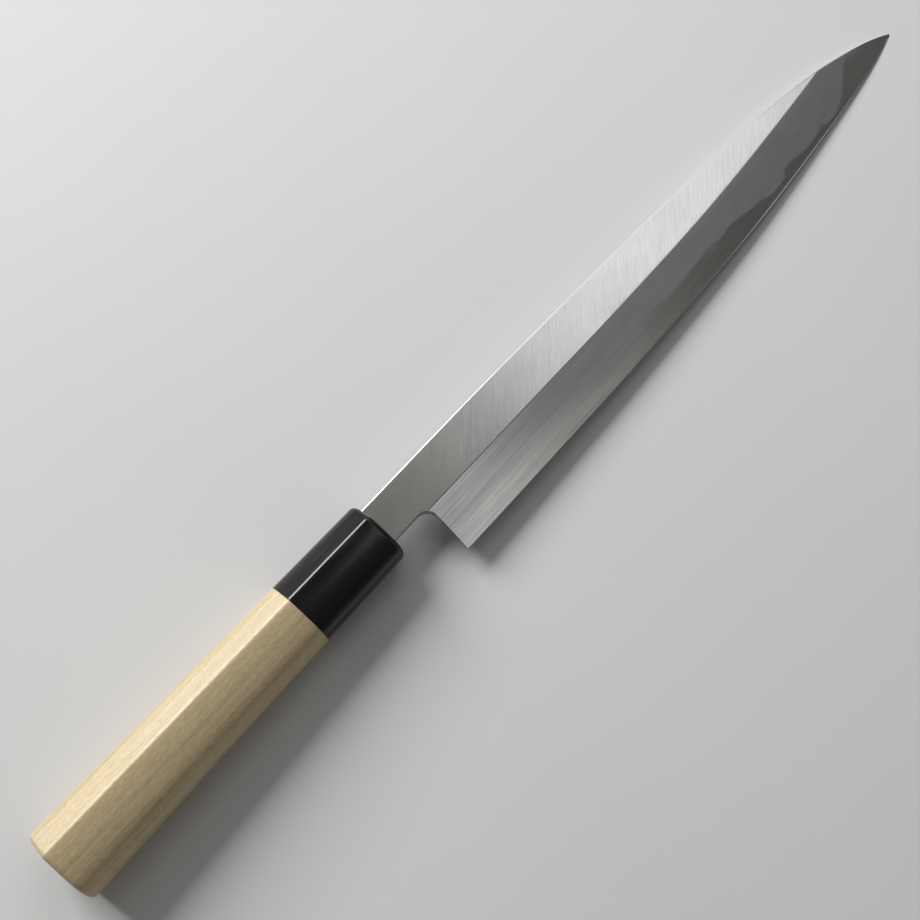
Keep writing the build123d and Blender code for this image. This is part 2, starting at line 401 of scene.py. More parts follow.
# %% Spine and edge
SPINE_DROPS = ((0.325, 0.016), (0.49, 0.046), (0.60, 0.074), (0.72, 0.126),
               (0.81, 0.193), (0.875, 0.268), (0.937, 0.385), (1.0, 0.576))
EDGE_RISES = ((0.48, 0.022), (0.60, 0.055), (0.72, 0.122), (0.80, 0.180),
              (0.87, 0.238), (0.947, 0.324), (1.0, 0.424))
SPINE_TIP_SLOPE, EDGE_TIP_SLOPE = -0.55, 0.32


def spine_y(x):
    """Height of the spine: straight, then the batten down to the tip."""
    places = [STRAIGHT_SPINE] + [share * REACH for share, drop in SPINE_DROPS]
    heights = [SPINE_Y] + [SPINE_Y - drop * HEEL_HEIGHT for share, drop in SPINE_DROPS]
    return np.where(x < STRAIGHT_SPINE, SPINE_Y,
                    batten(np.maximum(x, STRAIGHT_SPINE), places, heights, 0.0, SPINE_TIP_SLOPE))


def edge_y(x):
    """Height of the cutting edge: straight, then the batten up to the tip."""
    places = [STRAIGHT_EDGE] + [share * REACH for share, rise in EDGE_RISES]
    heights = [HEEL_Y] + [HEEL_Y + rise * HEEL_HEIGHT for share, rise in EDGE_RISES]
    return np.where(x < STRAIGHT_EDGE, HEEL_Y,
                    batten(np.maximum(x, STRAIGHT_EDGE), places, heights, 0.0, EDGE_TIP_SLOPE))


print("tip heights", float(spine_y(np.array(REACH))), float(edge_y(np.array(REACH))))

# %% [markdown]
# ## The ground faces
# The front is two flats that meet in a ridge, the shinogi: the upper flat thins evenly to the
# tip, and the wide bevel falls from the ridge to the edge. The back is hollow, so that only
# its rim touches the stone. Each face is one formula for the height at a place.

# %% Height of each face
HOLLOW_BEGINS, HOLLOW_ENDS = (0.004, 0.09), (0.45, 1.02)  # shares of the blade


def front_z(x):
    """Upper flat: thins evenly from the neck to the tip."""
    return BACK_Z + NECK_THICKNESS + (TIP_THICKNESS - NECK_THICKNESS) * x / REACH


def bevel_width(x):
    """Width of the bevel, from the edge to the ridge line."""
    share = np.clip((x - STRAIGHT_EDGE) / (REACH - STRAIGHT_EDGE), 0, 1)
    return BEVEL_WIDTH + (BEVEL_WIDTH_AT_TIP - BEVEL_WIDTH) * share


def bevel_z(x, y):
    """Wide bevel: rises in proportion to the distance from the edge."""
    slope = (front_z(x) - BACK_Z - EDGE_LAND) / bevel_width(x)
    return BACK_Z + EDGE_LAND + slope * (y - edge_y(x))


def face_z(x, y):
    """Front of the blade: whichever flat is lower."""
    return np.minimum(front_z(x), bevel_z(x, y))


def smooth_step(value, low, high):
    share = np.clip((value - low) / (high - low), 0, 1)
    return share * share * (3 - 2 * share)


def back_face_z(x, y, high, low):
    """Back: a shallow arc between its two flat rims at high and low, fading out at both ends."""
    share = (x - NECK_LENGTH) / (REACH - NECK_LENGTH)
    depth = smooth_step(share, *HOLLOW_BEGINS) * (1 - smooth_step(share, *HOLLOW_ENDS))
    width = np.maximum(high - low, 1e-6)
    arc = np.clip(4 * (high - y) * (y - low) / width ** 2, 0, 1)
    return BACK_Z + HOLLOW_DEPTH * depth * arc * width / HEEL_HEIGHT


# %% [markdown]
# ## The weld line
# Hard steel and soft iron are forge-welded, and grinding the bevel lays the weld bare as a
# line. It is never straight: the hammer has pushed it about. Here it is a batten of its own
# above the edge, with small ripples. Near the tip it climbs to the spine, so the tip is all
# steel. Both metals are real pieces that share this line.

# %% Weld line and weld surface
WELD_HEIGHTS = ((0, 5.9), (14, 5.8), (32, 8.0), (64, 8.2), (92, 6.2), (108, 7.3), (130, 7.2),
                (148, 6.6), (160, 5.9), (168, 3.9), (178, 3.0), (186, 3.8), (196, 2.0), (205, 2.9),
                (219, 2.5), (225, 6.0), (231, 7.4), (238, 6.5), (252, 8.0))
WELD_RIPPLES = ((0.10, 0.83, 0.0), (0.06, 1.47, 1.3), (0.16, 0.41, 0.5))  # height, pace, start
RIPPLES_BEGIN, RIPPLES_END, WELD_CURL = (20, 90), (224, 236), 3.0


def weld_y(x):
    """Weld line on the bevel: a batten above the edge with ripples, no higher than the spine."""
    places, heights = zip(*WELD_HEIGHTS)
    above = batten(np.clip(x, 0, REACH), places, heights, 0.0, 0.0)
    ripple = sum(tall * np.sin(x * pace + start) for tall, pace, start in WELD_RIPPLES)
    above = above + ripple * smooth_step(x, *RIPPLES_BEGIN) * (1 - smooth_step(x, *RIPPLES_END))
    return np.minimum(edge_y(x) + above, spine_y(x))


def weld_z(x, y):
    """Weld inside the blade: a flat that thins to the tip and curls up to the line on the bevel."""
    share = x / REACH
    flat = BACK_Z + STEEL_THICKNESS + (STEEL_THICKNESS_AT_TIP - STEEL_THICKNESS) * share
    line = weld_y(x)
    return flat + (bevel_z(x, line) - flat) * np.exp(-np.maximum(y - line, 0) / WELD_CURL)


SEARCH_START, THINNEST_IRON = 235, 0.02
search = np.linspace(SEARCH_START, REACH, 2000)
nose_x = float(search[np.argmax(spine_y(search) - weld_y(search) < THINNEST_IRON)])
print("the iron ends at", round(nose_x, 2), "mm")

# %% [markdown]
# ## Rails
# A blade is easiest to draw as rails: lines that run from neck to tip along every feature,
# the spine's corner, the ridge, the weld line and the edge. Between two rails the surface is
# straight, so a few points are enough across it. The neck and the blade proper share their
# rails, and the round notch below the neck is where the lower rails begin.

# %% Where each rail runs
CHAMFER, RIDGE_SOFT = 0.4, 0.14
CORNER = ((0, 1), (0.10, 0.28), (0.65, 0.08), (1.2, 0))  # shares of the chamfer: inward, down
CHAMFER_FADE_START, HEEL_AT_WELD, RAIL_GAP = 228, 14.3, 0.04
NOTCH_Y = NECK_Y - NOTCH_ROUND
heel_x = NECK_LENGTH + HEEL_LEAN
NOTCH_COLUMNS = 25
arc_angle = np.radians(np.linspace(90, 0, NOTCH_COLUMNS))
notch_centre = np.array([heel_x - NOTCH_ROUND, NOTCH_Y])
neck_straight = np.array([-10, -5, 0, 3, STEEL_START - 0.02, STEEL_START, 7.5, 9, notch_centre[0]])
notch_arc = notch_centre + NOTCH_ROUND * np.stack([np.cos(arc_angle), np.sin(arc_angle)], axis=-1)
neck_low_x = np.concatenate([neck_straight, notch_arc[1:, 0]])
neck_low_y = np.concatenate([0 * neck_straight + NECK_Y, notch_arc[1:, 1]])
above_notch = np.linspace(notch_centre[0], heel_x, NOTCH_COLUMNS)
neck_top_x = np.concatenate([neck_straight, above_notch[1:]])
nose_shares = np.linspace(0, 1, 241)
tip_shares = np.linspace(0, 1, 17)[1:]


def heel_line_x(y):
    """The heel leans back a little below the notch."""
    return NECK_LENGTH + HEEL_LEAN * np.clip((y - HEEL_Y) / (NOTCH_Y - HEEL_Y), 0, 1)


def blade_x(start, to_tip):
    """Places along a rail from the heel line to the iron's nose, and on to the tip if asked."""
    places = start + (nose_x - start) * nose_shares
    return np.concatenate([places, nose_x + (REACH - nose_x) * tip_shares]) if to_tip else places


def neck_x(y):
    """Places along a neck rail at heights y: the columns fan out toward the notch."""
    share = (SPINE_Y - y) / (SPINE_Y - neck_low_y)
    return neck_top_x + (neck_low_x - neck_top_x) * share


def ridge_y(x):
    return np.minimum(edge_y(x) + bevel_width(x), spine_y(x))


def notch_rail_y(x):
    """Rail from the notch's lower end, at a fixed share of the way from ridge to weld line."""
    start = np.array([heel_x])
    share = (ridge_y(start) - NOTCH_Y) / (ridge_y(start) - weld_y(start))
    return ridge_y(x) + (weld_y(x) - ridge_y(x)) * share


def chamfer_at(x):
    return CHAMFER * (1 - smooth_step(x, CHAMFER_FADE_START, nose_x))


# %% Surfaces between rails
def ruled(rails, steps):
    """Grid through rails of points (columns, 3): straight from each to the next, in steps."""
    rows = []
    for first, second, count in zip(rails[:-1], rails[1:], steps):
        share = np.arange(count)[:, None, None] / count
        rows.append(first[None] + (second - first)[None] * share)
    return np.concatenate(rows + [rails[-1][None]]).transpose(1, 0, 2)


def rail(x, y, z):
    return np.stack(np.broadcast_arrays(x, y, z), axis=-1)


def walls(top, bottom, finish):
    """A strip that joins two lines of points."""
    return (np.stack([top, bottom], axis=1), finish)


# %% Front rails of the iron
STEPS_TO_NOTCH = (1, 1, 1, 10, 2, 4)
STEPS_TO_WELD = (6,)
ROWS_TO_NOTCH = sum(STEPS_TO_NOTCH)


def front_rails(to_tip):
    """Rails of the front: three strokes off the spine's corner, ridge, notch rail and weld."""
    x_top = blade_x(heel_x, to_tip)
    x_weld = blade_x(float(heel_line_x(weld_y(np.array([HEEL_AT_WELD])))[0]), to_tip)
    chamfer = chamfer_at(x_top)
    spine = spine_y(x_top)
    top = spine - CORNER[-1][0] * chamfer
    above = np.minimum(ridge_y(x_top) + RIDGE_SOFT, top)
    below = np.minimum(ridge_y(x_top) - RIDGE_SOFT, top)
    notch = np.minimum(notch_rail_y(x_top), top)
    weld = np.minimum(weld_y(x_weld), spine_y(x_weld))
    strokes = []
    for inward, down in CORNER:
        y = spine - inward * chamfer
        strokes.append(rail(x_top, y, face_z(x_top, y) - down * chamfer))
    return strokes + [
        rail(x_top, above, face_z(x_top, above)),
        rail(x_top, below, face_z(x_top, below)),
        rail(x_top, notch, face_z(x_top, notch)),
        rail(x_weld, weld, face_z(x_weld, weld)),
    ]


def neck_rails():
    """All but the last of those rails across the neck, squeezed against its lower side."""
    ridge = HEEL_Y + BEVEL_WIDTH
    places = [(SPINE_Y - inward * CHAMFER, down * CHAMFER) for inward, down in CORNER]
    places += [(ridge + RIDGE_SOFT, 0), (ridge - RIDGE_SOFT, 0), (HEEL_Y, 0)]
    rails = []
    for number, (y, drop) in enumerate(places):
        height = np.maximum(y, neck_low_y + (len(places) - 1 - number) * RAIL_GAP)
        x = neck_x(height)
        rails.append(rail(x, height, face_z(x, height) - drop))
    return rails


def on_weld(grid):
    """The same grid moved down to the weld inside the blade."""
    x, y = grid[..., 0], grid[..., 1]
    depth = np.where(x < STEEL_START - 0.01, BACK_Z, weld_z(x, y))
    return np.stack([x, y, depth], axis=-1)


# %% [markdown]
# ## Soft iron
# The iron carries the flat, the ridge and the upper part of the bevel. It could be cut from a
# block with booleans, but then its facets would be a tangle of triangles. As a ruled grid the
# rows follow the grinding, and its borders are exactly those of the steel below.

# %% Measures that the metal finishes read
def blade_measures(drawn):
    """Millimetres above the edge, above the weld line and above the ridge, and along the blade."""
    x, y = np.clip(drawn[:, 0], 0, REACH), drawn[:, 1]
    return {"above_edge": y - edge_y(x), "above_weld": y - weld_y(x),
            "above_ridge": y - ridge_y(x), "below_spine": spine_y(x) - y, "along": drawn[:, 0]}


# %% Iron surfaces
FLAT, BEVEL, SPINE = 0, 1, 2
iron_front = ruled(front_rails(False), STEPS_TO_NOTCH + STEPS_TO_WELD)
iron_neck = ruled(neck_rails(), STEPS_TO_NOTCH)
iron_weld, neck_weld = on_weld(iron_front), on_weld(iron_neck)
iron_front[-1] = iron_front[-1, -1]
iron_weld[:, -1] = iron_front[:, -1]
iron_weld[-1] = iron_front[-1]
flat_rows = sum(STEPS_TO_NOTCH[:4])
iron_patches = []
for grid in (iron_neck, iron_front):
    iron_patches += [(grid[:, :len(CORNER)], SPINE),
                     (grid[:, len(CORNER) - 1:flat_rows + 2], FLAT),
                     (grid[:, flat_rows + 1:], BEVEL)]
iron_patches += [(iron_weld, BEVEL), (neck_weld, BEVEL)]
iron_patches += [
    walls(iron_front[:, 0], iron_weld[:, 0], SPINE),
    walls(iron_neck[:, 0], neck_weld[:, 0], SPINE),
    walls(iron_neck[0], neck_weld[0], SPINE),
    walls(iron_neck[:, -1], neck_weld[:, -1], SPINE),
    walls(iron_front[0, ROWS_TO_NOTCH:], iron_weld[0, ROWS_TO_NOTCH:], SPINE),
]
print("iron grid", iron_front.shape, "neck grid", iron_neck.shape)

# %% [markdown]
# ## Hard steel
# The steel is a thin plate under the iron that comes out at the bevel and ends in the edge.
# Its last 0.3 mm is the small bevel that the finest stone leaves, which draws the bright line
# along the edge. Its back is the hollow with its flat rim.

# %% Steel surfaces
LAST_BEVEL, LAST_BEVEL_FADE, EDGE_THICKNESS, BACK_EASE = 0.3, 6, 0.08, 0.15
STEPS_TO_EDGE = (6, 2)
first_steel_column = int(np.argmax(neck_top_x >= STEEL_START - 0.001))


def edge_rails():
    """Start of the last small bevel, and the edge itself."""
    x_small = blade_x(float(heel_line_x(HEEL_Y + LAST_BEVEL)), True)
    width = LAST_BEVEL * (1 - smooth_step(x_small, REACH - LAST_BEVEL_FADE, REACH))
    y_small = np.minimum(edge_y(x_small) + width, spine_y(x_small))
    x_edge = blade_x(NECK_LENGTH, True)
    return [rail(x_small, y_small, bevel_z(x_small, y_small)),
            rail(x_edge, edge_y(x_edge), BACK_Z + EDGE_THICKNESS)]


full_rails = front_rails(True)
shared = ruled(full_rails, STEPS_TO_NOTCH + STEPS_TO_WELD)
steel_top = on_weld(shared)
steel_top[:, -1] = shared[:, -1]
nose = len(nose_shares) - 1
steel_top[nose:, :, :] = shared[nose:, -1:, :]
steel_bevel = ruled([shared[:, -1]] + edge_rails(), STEPS_TO_EDGE)
steel_neck = neck_weld[first_steel_column:]
tip_point = np.array([REACH, edge_y(np.array(REACH)), BACK_Z])
steel_top[-1], steel_bevel[-1] = tip_point, tip_point


# %% Hollow back
FULL_RIM_WIDTH = 6  # blade width in millimetres below which the flat rims narrow


def back_rails():
    """Rails of the back: eased spine corner, upper rim, notch rail, lower rim, edge."""
    x = blade_x(heel_x, True)
    spine, edge = spine_y(x), edge_y(x)
    room = np.clip((spine - edge) / FULL_RIM_WIDTH, 0, 1)
    high, low = spine - HOLLOW_RIM * room, edge + HOLLOW_RIM * room
    share = (SPINE_Y - HOLLOW_RIM - NOTCH_Y) / (SPINE_Y - HEEL_Y - 2 * HOLLOW_RIM)
    x_low = blade_x(float(heel_line_x(HEEL_Y + HOLLOW_RIM)), True)
    x_edge = blade_x(NECK_LENGTH, True)
    return [rail(x, spine, BACK_Z + BACK_EASE * room), rail(x, spine - BACK_EASE * room, BACK_Z),
            rail(x, high, BACK_Z), rail(x, high + (low - high) * share, BACK_Z),
            rail(x_low, edge_y(x_low) + HOLLOW_RIM * room, BACK_Z),
            rail(x_edge, edge_y(x_edge), BACK_Z)]


BACK_STEPS_TO_NOTCH = (1, 2, 16)
BACK_STEPS_TO_EDGE = (10, 4)
back = ruled(back_rails(), BACK_STEPS_TO_NOTCH + BACK_STEPS_TO_EDGE)
high_column = sum(BACK_STEPS_TO_NOTCH[:2])
low_column = back.shape[1] - 1 - BACK_STEPS_TO_EDGE[-1]
inner = back[:, high_column:low_column + 1]
inner[..., 2] = back_face_z(inner[..., 0], inner[..., 1], inner[:, :1, 1], inner[:, -1:, 1])
back[-1] = tip_point
neck_y_rows = [SPINE_Y + 0 * neck_low_y, SPINE_Y - BACK_EASE + 0 * neck_low_y,
               SPINE_Y - HOLLOW_RIM + 0 * neck_low_y, neck_low_y]
neck_back_rails = [rail(neck_x(y), y, BACK_Z + (BACK_EASE if number == 0 else 0))
                   for number, y in enumerate(neck_y_rows)]
neck_back = ruled(neck_back_rails, BACK_STEPS_TO_NOTCH)[first_steel_column:]
print("back grid", back.shape, "neck back grid", neck_back.shape)

# %% Steel patches
HARD, HOLLOW, STEEL_SPINE, KEEN = 0, 1, 2, 3
heel_top = np.concatenate([steel_top[0, ROWS_TO_NOTCH:], steel_bevel[0, 1:]])
keen_steps = STEPS_TO_EDGE[-1]
steel_patches = [
    (steel_top, HARD), (steel_bevel[:, :-keen_steps], HARD),
    (steel_bevel[:, -keen_steps - 1:], KEEN), (steel_neck, HARD),
    (back, HOLLOW), (neck_back, HOLLOW),
    walls(steel_top[:, 0], back[:, 0], STEEL_SPINE),
    walls(steel_neck[:, 0], neck_back[:, 0], STEEL_SPINE),
    walls(steel_bevel[:, -1], back[:, -1], KEEN),
    walls(heel_top, back[0, ROWS_TO_NOTCH:], STEEL_SPINE),
    walls(steel_neck[0], neck_back[0], STEEL_SPINE),
    walls(steel_neck[:, -1], neck_back[:, -1], STEEL_SPINE),
]
front_row_count = steel_top.shape[1] - 1 + sum(STEPS_TO_EDGE)
print("rows on the front", front_row_count, "and on the back", back.shape[1] - 1)

# %% [markdown]
# ## Metal finishes
# One bar of metal shows several finishes here. The flat keeps the slanting scratches of the
# grinding wheel. The stones leave long streaks along the bevel, strongest at the heel, and dull
# its iron to a soft grey haze, while the hard steel below the weld comes out cleaner. Near the
# heel the bevel is painted paler, a painted highlight, and along the middle of the blade the
# steel is painted darker, a painted shade. The weld's border is cloudy, so the finish draws it
# and both pieces wear it. A picture of scratches would stretch over the curve of the tip, so
# each is noise drawn out along its own direction.

# %% Scratches
def drawn_out(finish, turn, length, width):
    """Noise in streaks: so many millimetres long and wide, at an angle to the blade in degrees."""
    scale = (1000 / length, 1000 / width, 1000 / width)
    return finish.noise(finish.place(scale, turn), detail=3, rough=0.6)


def along_edge(finish, length, width, offset=0.0, detail=3.0):
    """Noise in streaks that follow the cutting edge, also where it curves to the tip."""
    where = finish.add("ShaderNodeCombineXYZ", None,
                       {"X": finish.measure("along") / length,
                        "Y": finish.measure("above_edge") / width + offset, "Z": offset})
    return finish.noise(where, detail=detail, rough=0.6)


def painted_ridge_shade(finish, share):
    """Painted shade: a dark line painted along the ridge's crease, strongest near the heel."""
    away = finish.math_of("ABSOLUTE", finish.measure("above_ridge"))
    strength = finish.fade(finish.measure("along"), 60, 170, 1.0, 0.15)
    return finish.fade(away, 0.08, 0.30, 1.0, 0.0) * strength * share


# %% Flat above the ridge
def flat_metal():
    flat = Finish("ground_flat", {"Metallic": 1.0})
    coarse, fine = drawn_out(flat, -41, 16, 0.30), drawn_out(flat, -43, 7, 0.11)
    cloud = flat.noise(flat.place((45, 90, 90)), detail=2)
    calm = flat.fade(flat.measure("along"), 10, 110, 0.4, 1.0)
    share = ((coarse - 0.5) * 1.8 + (fine - 0.5) * 2.1) * calm + (cloud - 0.5) * 0.8 + 0.5
    silver = flat.tint(share, (0.46, 0.475, 0.47, 1), (0.62, 0.63, 0.63, 1))
    tone = flat.tint(flat.fade(flat.measure("along"), 10, 80, 1.0, 0.0), silver,
                     flat.tint(share, (0.50, 0.53, 0.48, 1), (0.70, 0.73, 0.68, 1)))
    # The dark line along the ridge is painted shade.
    flat.feed("Base Color", flat.tint(painted_ridge_shade(flat, 0.6), tone, (0.10, 0.095, 0.085, 1)))
    flat.feed("Roughness", (coarse * 0.06 + fine * 0.06 - 0.06) * calm + 0.25)
    flat.bump((coarse * 0.4 + fine * 0.6) * calm, 3e-6)
    return flat.material


# %% Both metals of the bevel
def stone_polished(name):
    """The bevel off the stone: hazed iron above, cleaner steel below, a cloudy border between."""
    bevel = Finish(name, {"Metallic": 1.0})
    along = bevel.measure("along")
    long, short = along_edge(bevel, 60, 0.75), along_edge(bevel, 24, 0.22, 3.7)
    cloud = along_edge(bevel, 13, 3.4, 6.1, 1.0)
    heel = bevel.fade(along, 15, 140, 1.0, 0.25)
    wander = (cloud - 0.5) * bevel.fade(along, 120, 230, 5.0, 3.2)
    climb = bevel.fade(along, 212, 236, 0.0, 1.4)
    blur = bevel.fade(along, 40, 170, 4.0, 0.6)
    border = (bevel.measure("above_weld") + wander - climb) / blur
    hard = bevel.fade(border, -1.0, 0.7, 1.0, 0.0)
    streak = ((long - 0.5) * 2.6 + (short - 0.5) * 1.5) * heel + (cloud - 0.5) * 0.5 + 0.5
    iron = bevel.tint(streak, (0.26, 0.27, 0.285, 1), (0.37, 0.38, 0.39, 1))
    steel = bevel.tint(streak, (0.28, 0.285, 0.27, 1), (0.42, 0.42, 0.395, 1))
    # Along the middle of the blade the steel is painted darker: a painted shade.
    middle = bevel.fade(along, 90, 155, 0.0, 0.55) * bevel.fade(along, 200, 245, 1.0, 0.35)
    dark = bevel.tint(hard * middle, bevel.tint(hard, iron, steel), (0.19, 0.19, 0.175, 1))
    # Near the heel the bevel is painted paler: a painted highlight.
    bevel_with_painted_light = bevel.tint(bevel.fade(along, 13, 70, 0.95, 0.0), dark,
                       bevel.tint(streak, (0.48, 0.485, 0.47, 1), (0.84, 0.845, 0.82, 1)))
    # The dark line along the ridge is painted shade.
    bevel.feed("Base Color", bevel.tint(painted_ridge_shade(bevel, 0.6), bevel_with_painted_light, (0.10, 0.09, 0.075, 1)))
    bevel.feed("Roughness", 0.35 - hard * 0.07 + (short - 0.5) * heel * 0.16)
    bevel.bump((long * 0.4 + short * 0.6) * heel, 3e-6)
    return bevel.material


# %% Spine, hollow back and keen edge
def spine_metal(name):
    spine = Finish(name, {"Metallic": 1.0})
    streak = drawn_out(spine, 0, 16, 0.3)
    spine.feed("Base Color", spine.tint(streak, (0.46, 0.465, 0.455, 1), (0.62, 0.625, 0.615, 1)))
    spine.feed("Roughness", streak * 0.12 + 0.26)
    spine.bump(streak, 4e-6)
    return spine.material


def hollow_steel():
    hollow = Finish("hollow_back", {"Metallic": 1.0})
    across, fine = drawn_out(hollow, 78, 14, 0.5), drawn_out(hollow, 84, 6, 0.14)
    long = along_edge(hollow, 30, 0.4, 2.3)
    border = hollow.math_of("MINIMUM", hollow.measure("above_edge"), hollow.measure("below_spine"))
    rim = hollow.fade(border, 1.15, 1.45, 1.0, 0.0)
    inner = across * 0.6 + fine * 0.4
    share = inner * (1 - rim) + long * rim
    hollow.feed("Base Color", hollow.tint(share, (0.42, 0.425, 0.42, 1), (0.58, 0.585, 0.575, 1)))
    hollow.feed("Roughness", share * 0.12 + 0.30 - rim * 0.14)
    hollow.bump(share, 5e-6)
    return hollow.material


def keen_edge():
    keen = Finish("keen_edge", {"Metallic": 1.0})
    nick = along_edge(keen, 2.2, 0.3, 1.9)
    keen.feed("Base Color", keen.tint(nick, (0.62, 0.62, 0.60, 1), (0.78, 0.78, 0.76, 1)))
    keen.feed("Roughness", nick * 0.14 + 0.14)
    return keen.material


# %% Make the blade
METAL_SHARP, HANDLE_SHARP = 5, 24  # degrees from which an edge is drawn sharp
iron_finishes = [flat_metal(), stone_polished("polished_iron"), spine_metal("iron_spine")]
steel_finishes = [stone_polished("polished_steel"), hollow_steel(), spine_metal("steel_spine"),
                  keen_edge()]
make_piece("iron_cladding", iron_patches, iron_finishes, ["blade_iron"],
           blade_measures, METAL_SHARP)
make_piece("hard_steel_layer", steel_patches, steel_finishes, ["blade_steel"],
           blade_measures, METAL_SHARP)

# %% [markdown]
# ## Chestnut section
# The handle has the section of a chestnut: a ridge that fills the curl of the fingers, a flat
# facet on its spine side, and a round crown and sides down to a flat back. It could be an
# extruded curve, but the section shrinks to the front and its rims are rounded, so each ring
# is worked out for its own place and its own inset.

# %% Arcs and lines of the section
def arc(start, end, way, steps):
    """Round stretch from start to end that leaves along way, and the way it arrives.

    With T the way, N its left normal and c the chord, the radius is c.c / (2 c.N) and the turn
    is twice the angle of the chord. After a turn by a, the point is
    start + R (sin a T + (1 - cos a) N)."""
    way = way / np.linalg.norm(way, axis=-1, keepdims=True)
    normal = np.stack([-way[:, 1], way[:, 0]], axis=-1)
    chord = end - start
    across = (chord * normal).sum(-1, keepdims=True)
    ahead = (chord * way).sum(-1, keepdims=True)
    radius = (chord ** 2).sum(-1, keepdims=True) / (2 * across)
    turn = 2 * np.arctan2(across, ahead)
    a = turn[:, None] * (np.arange(steps) / steps)[None, :, None]
    offset = np.sin(a) * way[:, None] + (1 - np.cos(a)) * normal[:, None]
    return start[:, None] + radius[:, None] * offset, np.cos(turn) * way + np.sin(turn) * normal


def line(start, end, steps):
    share = (np.arange(steps) / steps)[None, :, None]
    return start[:, None] + (end - start)[:, None] * share


def unit(vector):
    return vector / np.linalg.norm(vector, axis=-1, keepdims=True)


# %% Section at each place
# Shares of half the height and of half the thickness
RIDGE_AT, FACET_END_AT, CROWN_MIDDLE_AT = (0.29, 1), (0.76, 0.58), (-0.6, 0.72)
CROWN_WAY, BACK_SHARE = (-1, -0.16), 0.5


def chestnut(x, inset):
    """Rings (places, points, 3) of the section at each x, drawn in by inset."""
    x, inset = np.broadcast_arrays(np.asarray(x, float), np.asarray(inset, float))
    share = -x / HANDLE_LENGTH
    half_height = (FRONT_HEIGHT + (BUTT_HEIGHT - FRONT_HEIGHT) * share) / 2 - inset
    half_thickness = (FRONT_THICKNESS + (BUTT_THICKNESS - FRONT_THICKNESS) * share) / 2 - inset

    def spot(height_share, thickness_share):
        return np.stack([height_share * half_height, thickness_share * half_thickness], axis=-1)

    ridge, facet_end, crown_middle = spot(*RIDGE_AT), spot(*FACET_END_AT), spot(*CROWN_MIDDLE_AT)
    back_spine, back_edge = spot(BACK_SHARE, -1), spot(-BACK_SHARE, -1)
    facet_way, crown_way = unit(facet_end - ridge), unit(spot(*CROWN_WAY))
    half_angle = np.arccos((facet_way * crown_way).sum(-1, keepdims=True)) / 2
    cut = RIDGE_ROUND / np.tan(half_angle)
    ridge_start, ridge_end = ridge + crown_way * cut, ridge + facet_way * cut
    top, _ = arc(ridge_start, ridge_end, -crown_way, 7)
    spine_round, way = arc(facet_end, spot(1, 0), facet_way, 12)
    spine_back, _ = arc(spot(1, 0), back_spine, way, 14)
    crown, way = arc(ridge_start, crown_middle, crown_way, 16)
    edge_round, way = arc(crown_middle, spot(-1, 0), way, 14)
    edge_back, _ = arc(spot(-1, 0), back_edge, way, 14)
    far_side = np.concatenate([crown, edge_round, edge_back], axis=1)[:, ::-1]
    ring = np.concatenate([top, line(ridge_end, facet_end, 10), spine_round, spine_back,
                           line(back_spine, back_edge, 10), back_edge[:, None], far_side], axis=1)
    return np.concatenate([0 * ring[..., :1] + x[:, None, None], ring], axis=-1)


def cap(ring, steps=4):
    """Flat cap: the ring shrunk step by step to its middle."""
    share = (np.arange(steps + 1) / steps)[:, None, None]
    return ring[None] * (1 - share) + ring.mean(axis=0)[None, None] * share


def rounded(end_x, radius, way, steps=10):
    """Rings that round the form off toward end_x, from the full section to the end face."""
    a = np.linspace(0, np.pi / 2, steps + 1)
    return chestnut(end_x - way * radius * (1 - np.sin(a)), radius * (1 - np.cos(a)))


# %% [markdown]
# ## Wood and its end
# The handle is pale, straight-grained magnolia wood, sanded and left bare. A picture of wood
# would show the same grain on the side as on the end. A solid pattern does better: growth
# rings are cylinders round a far-off heart, fibres are noise drawn out along the handle, and
# both come out as lines on the sides and as dots and arcs on the end.

# %% Magnolia wood
def magnolia():
    wood = Finish("magnolia_wood", {"Specular IOR Level": 0.75})
    wobble = wood.noise(wood.place((14, 60, 60)), detail=2) * 0.0016
    from_heart = wood.add("ShaderNodeVectorMath", {"operation": "LENGTH"},
                          {0: wood.place((0.03, 1, 1), shift=(0, 0.115, 0.022))}, output=1)
    rings = wood.add("ShaderNodeTexNoise", {"noise_dimensions": "1D"},
                     {"W": (from_heart + wobble) * 620, "Scale": 1.0,
                      "Detail": 3.0, "Roughness": 0.6})
    streak = wood.noise(wood.place((34, 1500, 1500)), detail=3, rough=0.6)
    fibre = wood.noise(wood.place((520, 2600, 2600)), detail=3, rough=0.65)
    speck = wood.noise(wood.place((420, 4200, 4200), shift=(0.3, 0.1, 0)), detail=1)
    pore = wood.fade(speck, 0.60, 0.72)
    end_grain = wood.measure("end_grain")
    share = (rings - 0.5) * 0.8 + (streak - 0.5) * 1.1 + (fibre - 0.5) * 2.2 + 0.45
    pale = wood.tint(share, (0.66, 0.535, 0.325, 1), (0.465, 0.345, 0.175, 1))
    dotted = wood.tint(pore * 0.22, pale, (0.33, 0.25, 0.14, 1))
    wood.feed("Base Color", wood.tint(end_grain * 0.5, dotted, (0.40, 0.31, 0.20, 1)))
    wood.feed("Roughness", fibre * 0.14 + streak * 0.08 + 0.31)
    wood.bump(streak * 0.4 + fibre * 0.4 - pore * 0.6, 2.5e-5)
    return wood.material


END_GRAIN_FADE = (HANDLE_LENGTH - 0.5, HANDLE_LENGTH - 0.05)


def wood_measures(drawn):
    """Where the end of the grain shows: the butt's flat face."""
    return {"end_grain": smooth_step(-drawn[:, 0], *END_GRAIN_FADE)}


